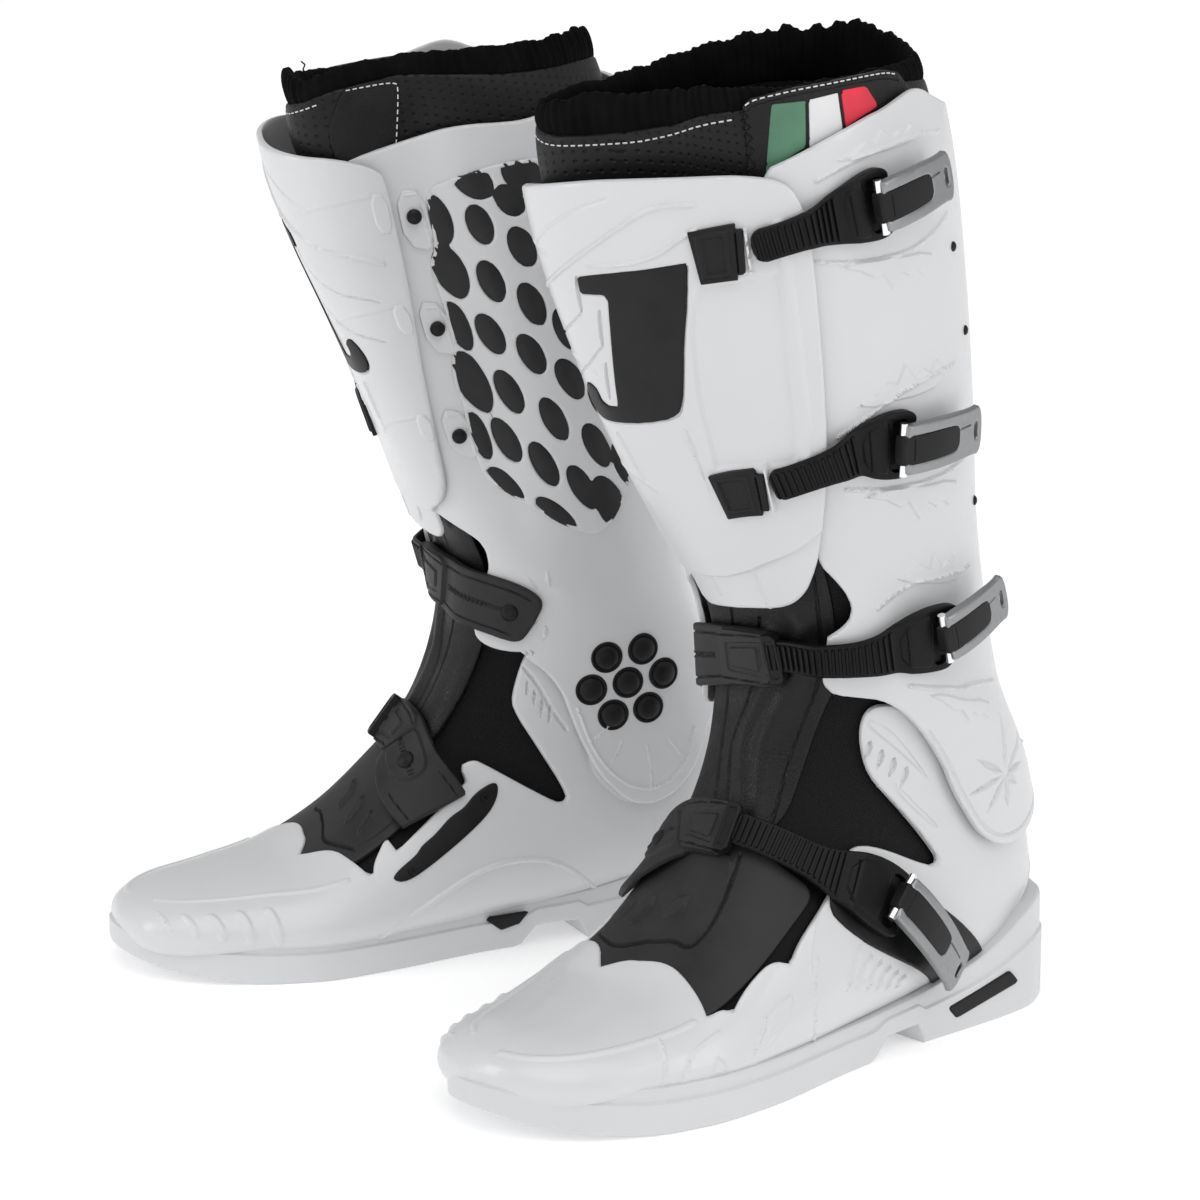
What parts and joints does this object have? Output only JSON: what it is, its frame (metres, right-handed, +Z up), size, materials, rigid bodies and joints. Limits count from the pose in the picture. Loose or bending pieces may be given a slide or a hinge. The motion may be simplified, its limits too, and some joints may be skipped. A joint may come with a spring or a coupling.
{
  "type": "motocross riding boots",
  "caption": "Tall hard-shelled riding boots, a left and a right, with hinged ankles, swinging shin plates and lever buckles on ladder straps.",
  "frame": {"origin": "on the floor under the middle of the pair's bounding box", "axes": "+Z up, toes towards -Y, the left boot on +X; each boot is turned 9 degrees outwards"},
  "size_m": [0.3674, 0.3365, 0.4159],
  "materials": {
    "white_shell": "glossy moulded plastic",
    "white_sole": "satin moulded rubber",
    "black_rubber": "matte moulded rubber",
    "black_plastic": "satin moulded plastic",
    "strap_plastic": "satin ribbed plastic",
    "black_leather": "padded grained leather",
    "black_fabric": "coarse woven mesh",
    "aluminium": "satin"
  },
  "bodies": {
    "foot_l": {"outsole_l": "white_sole", "foot_shell_l": "white_shell", "heel_insert_l": "black_plastic", "instep_guard_l": "black_rubber", "instep_band_l": "black_rubber", "buckle_base_l": "black_plastic", "pivot_lateral_l": "white_shell", "pivot_medial_l": "black_plastic", "receiver_4_l": "black_plastic", "inner_bootie_l": "black_fabric", "tongue_l": "black_leather"},
    "shaft_l": {"shaft_shell_l": "white_shell", "collar_l": "black_leather", "ankle_band_l": "black_rubber", "ankle_pad_l": "black_rubber", "grip_pad_l": "black_rubber", "hinge_strip_l": "white_shell", "receiver_3_l": "black_plastic"},
    "shin_plate_l": {"shin_plate_l": "white_shell", "shin_insert_l": "black_plastic", "receiver_1_l": "black_plastic", "receiver_2_l": "black_plastic"},
    "strap_1_l": {"ladder_strap_1_l": "strap_plastic"},
    "lever_1_l": {"lever_1_l": "aluminium"},
    "strap_2_l": {"ladder_strap_2_l": "strap_plastic"},
    "lever_2_l": {"lever_2_l": "aluminium"},
    "strap_3_l": {"ladder_strap_3_l": "strap_plastic"},
    "lever_3_l": {"lever_3_l": "aluminium"},
    "strap_4_l": {"ladder_strap_4_l": "strap_plastic"},
    "lever_4_l": {"lever_4_l": "aluminium"},
    "foot_r": {"outsole_r": "white_sole", "foot_shell_r": "white_shell", "heel_insert_r": "black_plastic", "instep_guard_r": "black_rubber", "instep_band_r": "black_rubber", "buckle_base_r": "black_plastic", "pivot_lateral_r": "white_shell", "pivot_medial_r": "black_plastic", "receiver_4_r": "black_plastic", "inner_bootie_r": "black_fabric", "tongue_r": "black_leather"},
    "shaft_r": {"shaft_shell_r": "white_shell", "collar_r": "black_leather", "ankle_band_r": "black_rubber", "ankle_pad_r": "black_rubber", "grip_pad_r": "black_rubber", "hinge_strip_r": "white_shell", "receiver_3_r": "black_plastic"},
    "shin_plate_r": {"shin_plate_r": "white_shell", "shin_insert_r": "black_plastic", "receiver_1_r": "black_plastic", "receiver_2_r": "black_plastic"},
    "strap_1_r": {"ladder_strap_1_r": "strap_plastic"},
    "lever_1_r": {"lever_1_r": "aluminium"},
    "strap_2_r": {"ladder_strap_2_r": "strap_plastic"},
    "lever_2_r": {"lever_2_r": "aluminium"},
    "strap_3_r": {"ladder_strap_3_r": "strap_plastic"},
    "lever_3_r": {"lever_3_r": "aluminium"},
    "strap_4_r": {"ladder_strap_4_r": "strap_plastic"},
    "lever_4_r": {"lever_4_r": "aluminium"}
  },
  "joints": [
    {"name": "ankle_flex_l", "type": "hinge", "parent": "foot_l", "child": "shaft_l", "pos_m": [0.09365, 0.09554, 0.115], "axis": [0.9877, 0.1564, 0], "range_deg": [0, 15], "stiffness_Nm_per_rad": 40, "springref_deg": -0.43, "deforming": ["inner_bootie_l", "tongue_l"]},
    {"name": "shin_plate_swing_l", "type": "hinge", "parent": "shaft_l", "child": "shin_plate_l", "pos_m": [0.06131, -0.02555, 0.29392], "axis": [0.0524, 0.2721, -0.9608], "range_deg": [0, 60]},
    {"name": "strap_swing_1_l", "type": "hinge", "parent": "shin_plate_l", "child": "strap_1_l", "pos_m": [0.16263, -0.02882, 0.34739], "axis": [-0.0026, 0.3209, -0.9471], "range_deg": [0, 40]},
    {"name": "lever_swing_1_l", "type": "hinge", "parent": "strap_1_l", "child": "lever_1_l", "pos_m": [0.17979, 0.02323, 0.36303], "axis": [-0.0332, 0.2509, -0.9675], "range_deg": [0, 95]},
    {"name": "strap_swing_2_l", "type": "hinge", "parent": "shin_plate_l", "child": "strap_2_l", "pos_m": [0.1445, -0.00542, 0.24743], "axis": [0.043, 0.4108, -0.9107], "range_deg": [0, 40]},
    {"name": "lever_swing_2_l", "type": "hinge", "parent": "strap_2_l", "child": "lever_2_l", "pos_m": [0.17094, 0.04297, 0.26328], "axis": [-0.0965, 0.0637, -0.9933], "range_deg": [0, 95]},
    {"name": "strap_swing_3_l", "type": "hinge", "parent": "shaft_l", "child": "strap_3_l", "pos_m": [0.12601, 0.00938, 0.17012], "axis": [-0.0518, 0.1901, -0.9804], "range_deg": [0, 40]},
    {"name": "lever_swing_3_l", "type": "hinge", "parent": "strap_3_l", "child": "lever_3_l", "pos_m": [0.16528, 0.07078, 0.1818], "axis": [-0.1209, 0.3229, -0.9387], "range_deg": [0, 95]},
    {"name": "strap_swing_4_l", "type": "hinge", "parent": "foot_l", "child": "strap_4_l", "pos_m": [0.12345, -0.00852, 0.10431], "axis": [0.1868, -0.5645, -0.804], "range_deg": [0, 40]},
    {"name": "lever_swing_4_l", "type": "hinge", "parent": "strap_4_l", "child": "lever_4_l", "pos_m": [0.16174, 0.05278, 0.07132], "axis": [0.2542, -0.7064, -0.6606], "range_deg": [0, 95]},
    {"name": "ankle_flex_r", "type": "hinge", "parent": "foot_r", "child": "shaft_r", "pos_m": [-0.09365, 0.07154, 0.115], "axis": [0.9877, -0.1564, 0], "range_deg": [0, 15], "stiffness_Nm_per_rad": 40, "springref_deg": -0.43, "deforming": ["inner_bootie_r", "tongue_r"]},
    {"name": "shin_plate_swing_r", "type": "hinge", "parent": "shaft_r", "child": "shin_plate_r", "pos_m": [-0.06131, -0.04955, 0.29392], "axis": [0.0524, -0.2721, 0.9608], "range_deg": [0, 60]},
    {"name": "strap_swing_1_r", "type": "hinge", "parent": "shin_plate_r", "child": "strap_1_r", "pos_m": [-0.16263, -0.05282, 0.34739], "axis": [-0.0026, -0.3209, 0.9471], "range_deg": [0, 40]},
    {"name": "lever_swing_1_r", "type": "hinge", "parent": "strap_1_r", "child": "lever_1_r", "pos_m": [-0.17979, -0.00077, 0.36303], "axis": [-0.0332, -0.2509, 0.9675], "range_deg": [0, 95]},
    {"name": "strap_swing_2_r", "type": "hinge", "parent": "shin_plate_r", "child": "strap_2_r", "pos_m": [-0.1445, -0.02942, 0.24743], "axis": [0.043, -0.4108, 0.9107], "range_deg": [0, 40]},
    {"name": "lever_swing_2_r", "type": "hinge", "parent": "strap_2_r", "child": "lever_2_r", "pos_m": [-0.17094, 0.01897, 0.26328], "axis": [-0.0965, -0.0637, 0.9933], "range_deg": [0, 95]},
    {"name": "strap_swing_3_r", "type": "hinge", "parent": "shaft_r", "child": "strap_3_r", "pos_m": [-0.12601, -0.01462, 0.17012], "axis": [-0.0518, -0.1901, 0.9804], "range_deg": [0, 40]},
    {"name": "lever_swing_3_r", "type": "hinge", "parent": "strap_3_r", "child": "lever_3_r", "pos_m": [-0.16528, 0.04678, 0.1818], "axis": [-0.1209, -0.3229, 0.9387], "range_deg": [0, 95]},
    {"name": "strap_swing_4_r", "type": "hinge", "parent": "foot_r", "child": "strap_4_r", "pos_m": [-0.12345, -0.03252, 0.10431], "axis": [0.1868, 0.5645, 0.804], "range_deg": [0, 40]},
    {"name": "lever_swing_4_r", "type": "hinge", "parent": "strap_4_r", "child": "lever_4_r", "pos_m": [-0.16174, 0.02878, 0.07132], "axis": [0.2542, 0.7064, 0.6606], "range_deg": [0, 95]},
    {"name": "right_boot_lift", "type": "slide", "parent": "foot_l", "child": "foot_r", "axis": [0, 0, 1], "range_m": [0, 0.3]}
  ]
}
